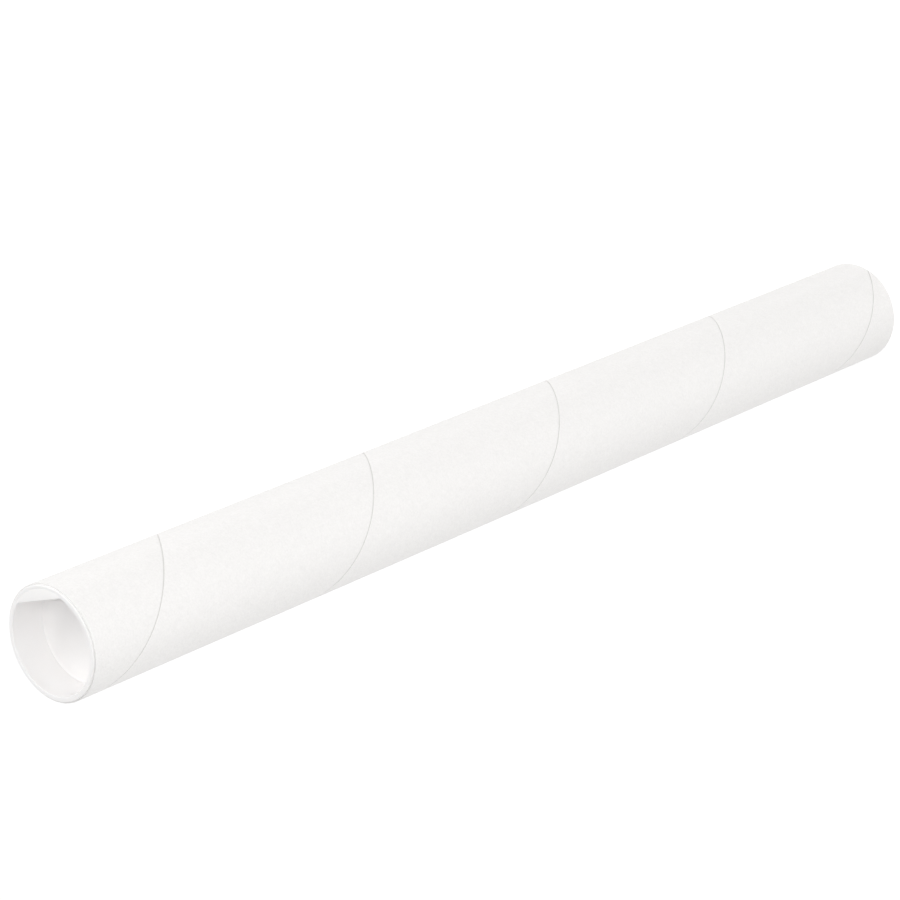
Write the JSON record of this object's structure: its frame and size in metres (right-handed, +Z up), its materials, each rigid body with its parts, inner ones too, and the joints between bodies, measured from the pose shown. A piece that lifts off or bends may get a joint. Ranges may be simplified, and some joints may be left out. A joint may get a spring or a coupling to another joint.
{
  "type": "cardboard mailing tube",
  "caption": "Long white spiral-wound paperboard tube with a recessed moulded push-in plug and pull tab at each end, for posting rolled papers.",
  "frame": {"origin": "centre of the bottom plug's outer face, where the tube stands on its end", "axes": "+Z up along the tube's axis, towards the end that faces the camera in the picture; +X towards the plugs' pull tabs"},
  "size_m": [0.0548, 0.0548, 0.6112],
  "materials": {
    "white_paperboard": "matt white spiral-wound paperboard",
    "white_plastic": "satin white moulded polyethylene"
  },
  "bodies": {
    "tube": {"tube": "white_paperboard"},
    "top_plug": {"top_plug": "white_plastic"},
    "bottom_plug": {"bottom_plug": "white_plastic"}
  },
  "joints": [
    {"name": "top_plug_pull", "type": "slide", "parent": "tube", "child": "top_plug", "axis": [0, 0, 1], "range_m": [0, 0.03]},
    {"name": "bottom_plug_pull", "type": "slide", "parent": "tube", "child": "bottom_plug", "axis": [0, 0, -1], "range_m": [0, 0.03]}
  ]
}
